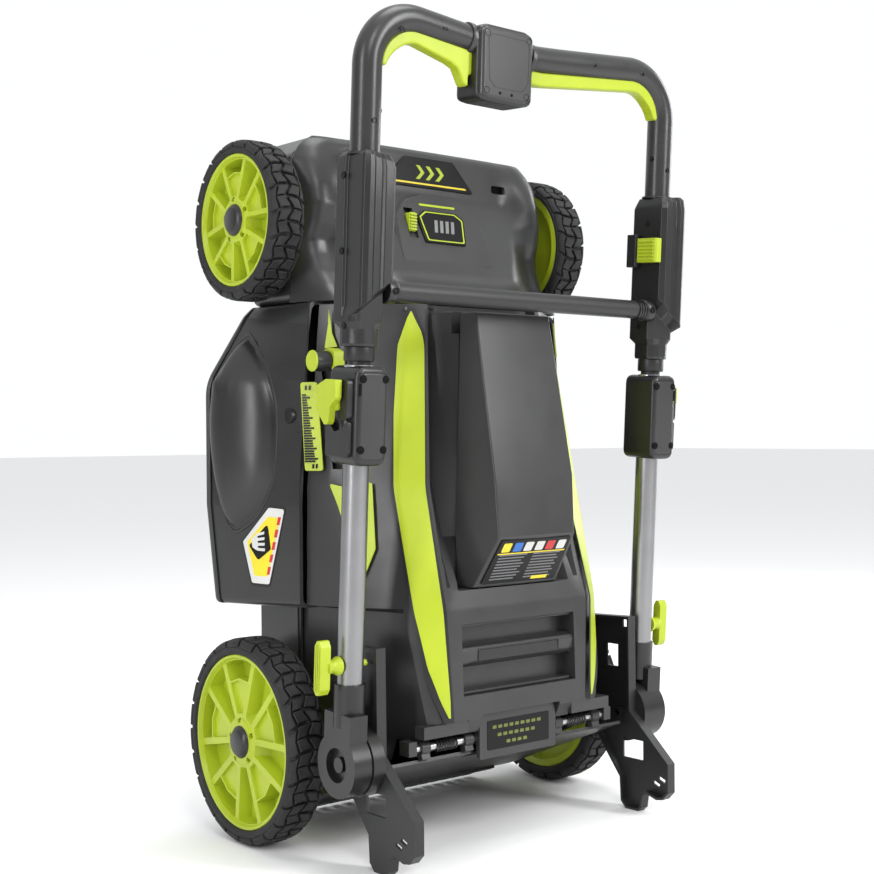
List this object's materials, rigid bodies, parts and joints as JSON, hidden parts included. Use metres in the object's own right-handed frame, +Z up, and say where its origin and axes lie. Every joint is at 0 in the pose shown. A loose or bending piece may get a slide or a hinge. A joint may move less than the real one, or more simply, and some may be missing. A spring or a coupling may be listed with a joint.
{
  "type": "push lawn mower",
  "caption": "Battery push lawn mower stored upright on its rear wheels, with a folding telescopic handle, battery lid, rear discharge door and cutting blade.",
  "frame": {"origin": "floor point under the middle of the bounding box, in the upright storage pose", "axes": "+Z up (towards the front of the mower), -Y out of the deck top, +X to the mower's right"},
  "size_m": [0.566, 0.411, 0.9945],
  "materials": {
    "lime": "satin",
    "grey": "fine grain",
    "dark": "fine grain",
    "black": "fine grain",
    "light": "fine grain",
    "label_yellow": "printed film",
    "label_black": "printed film",
    "steel": "plain",
    "black_steel": "powder coat",
    "alu": "anodised",
    "motor": "paint",
    "copper": "plain",
    "tread": "rubber",
    "flap": "rubber"
  },
  "bodies": {
    "deck": {"deck_shell": "dark", "top_cowl": "grey", "stripes": "lime", "accents": "lime", "height_scale": "lime", "side_label": "label_yellow", "front_badge": "label_black", "nose_plate": "black", "rear_cover": "grey", "carry_bar": "dark", "hinge_rods": "steel", "hinge_blocks": "light", "door_springs": "steel", "battery_tray": "black", "battery_contacts": "copper", "motor_can": "motor", "motor_plate": "steel", "controller": "black", "drive_unit": "black", "front_axle": "steel", "rear_axle": "steel", "brackets": "black_steel", "pivot_discs": "dark", "deck_screws": "steel"},
    "hood_latch": {"hood_button": "lime"},
    "lid": {"battery_lid": "grey", "lid_label": "label_black"},
    "battery": {"battery_pack": "dark", "battery_latch": "lime"},
    "key": {"safety_key": "lime"},
    "door": {"rear_door": "grey", "trailing_skirt": "flap"},
    "height_lever": {"lever_arm": "black_steel", "lever_knob": "lime"},
    "rotor": {"rotor_shaft": "steel", "blade_carrier": "dark", "blade": "steel", "blade_bolt": "steel"},
    "wheel_front_left": {"tyre_fl": "tread", "rim_fl": "lime"},
    "wheel_front_right": {"tyre_fr": "tread", "rim_fr": "lime"},
    "wheel_rear_left": {"tyre_rl": "tread", "rim_rl": "lime"},
    "wheel_rear_right": {"tyre_rr": "tread", "rim_rr": "lime"},
    "handle_lower": {"handle_hubs": "dark", "lower_tubes": "alu", "clamps": "dark"},
    "cam_left": {"cam_lever_l": "lime"},
    "cam_right": {"cam_lever_r": "lime"},
    "tee_left": {"tee_knob_l": "lime"},
    "tee_right": {"tee_knob_r": "lime"},
    "handle_upper": {"upper_tubes": "black_steel", "upper_housings": "dark"},
    "slider": {"speed_slider": "lime"},
    "grip": {"grip_tube": "black_steel", "console": "dark"},
    "bail_bar": {"bail": "lime"},
    "button": {"start_button": "lime"}
  },
  "joints": [
    {"name": "latch_press", "type": "slide", "parent": "deck", "child": "hood_latch", "axis": [0, 1, 0], "range_m": [0, 0.003], "stiffness_N_per_m": 600, "springref_m": -0.003},
    {"name": "lid_hinge", "type": "hinge", "parent": "deck", "child": "lid", "pos_m": [0, -0.1175, 0.645], "axis": [-1, 0, 0], "range_deg": [0, 48]},
    {"name": "battery_lift", "type": "slide", "parent": "deck", "child": "battery", "axis": [0, -1, 0], "range_m": [0, 0.015]},
    {"name": "key_pull", "type": "slide", "parent": "deck", "child": "key", "axis": [0, -1, 0], "range_m": [0, 0.02]},
    {"name": "door_hinge", "type": "hinge", "parent": "deck", "child": "door", "pos_m": [0, -0.1245, 0.132], "axis": [-1, 0, 0], "range_deg": [0, 60], "stiffness_Nm_per_rad": 1.5, "springref_deg": -57.3},
    {"name": "height_lever_turn", "type": "hinge", "parent": "deck", "child": "height_lever", "pos_m": [-0.185, 0.0335, 0.527], "axis": [1, 0, 0], "range_deg": [0, 80]},
    {"name": "blade_spin", "type": "hinge", "parent": "deck", "child": "rotor", "pos_m": [0, 0.0785, 0.462], "axis": [0, -1, 0], "continuous": true},
    {"name": "spin_front_left", "type": "hinge", "parent": "deck", "child": "wheel_front_left", "pos_m": [0, 0.1055, 0.771], "axis": [1, 0, 0], "continuous": true},
    {"name": "spin_front_right", "type": "hinge", "parent": "deck", "child": "wheel_front_right", "pos_m": [0, 0.1055, 0.771], "axis": [1, 0, 0], "continuous": true},
    {"name": "spin_rear_left", "type": "hinge", "parent": "deck", "child": "wheel_rear_left", "pos_m": [0, 0.0785, 0.127], "axis": [1, 0, 0], "continuous": true},
    {"name": "spin_rear_right", "type": "hinge", "parent": "deck", "child": "wheel_rear_right", "pos_m": [0, 0.0785, 0.127], "axis": [1, 0, 0], "continuous": true},
    {"name": "handle_fold", "type": "hinge", "parent": "deck", "child": "handle_lower", "pos_m": [0, -0.1115, 0.127], "axis": [1, 0, 0], "range_deg": [0, 137]},
    {"name": "cam_lever_left", "type": "hinge", "parent": "handle_lower", "child": "cam_left", "pos_m": [-0.262, -0.15111, 0.53934], "axis": [0, -0.0619, 0.9981], "range_deg": [0, 100]},
    {"name": "cam_lever_right", "type": "hinge", "parent": "handle_lower", "child": "cam_right", "pos_m": [0.262, -0.15111, 0.53934], "axis": [0, 0.0619, -0.9981], "range_deg": [0, 100]},
    {"name": "tee_knob_left", "type": "hinge", "parent": "handle_lower", "child": "tee_left", "pos_m": [-0.235, -0.11862, 0.24178], "axis": [1, 0, 0], "continuous": true},
    {"name": "tee_knob_right", "type": "hinge", "parent": "handle_lower", "child": "tee_right", "pos_m": [0.235, -0.11862, 0.24178], "axis": [1, 0, 0], "continuous": true},
    {"name": "handle_extend", "type": "slide", "parent": "handle_lower", "child": "handle_upper", "axis": [0, -0.0619, 0.9981], "range_m": [0, 0.26]},
    {"name": "speed_set", "type": "slide", "parent": "handle_upper", "child": "slider", "axis": [0, -0.0619, 0.9981], "range_m": [-0.006, 0.006]},
    {"name": "grip_push", "type": "slide", "parent": "handle_upper", "child": "grip", "axis": [0, 0.0619, -0.9981], "range_m": [0, 0.015], "stiffness_N_per_m": 2500, "springref_m": -0.012},
    {"name": "bail_pull", "type": "slide", "parent": "grip", "child": "bail_bar", "axis": [0, -0.0619, 0.9981], "range_m": [0, 0.008], "stiffness_N_per_m": 600, "springref_m": -0.01},
    {"name": "button_press", "type": "slide", "parent": "grip", "child": "button", "axis": [0, -0.9981, -0.0619], "range_m": [0, 0.003], "stiffness_N_per_m": 400, "springref_m": -0.003}
  ]
}
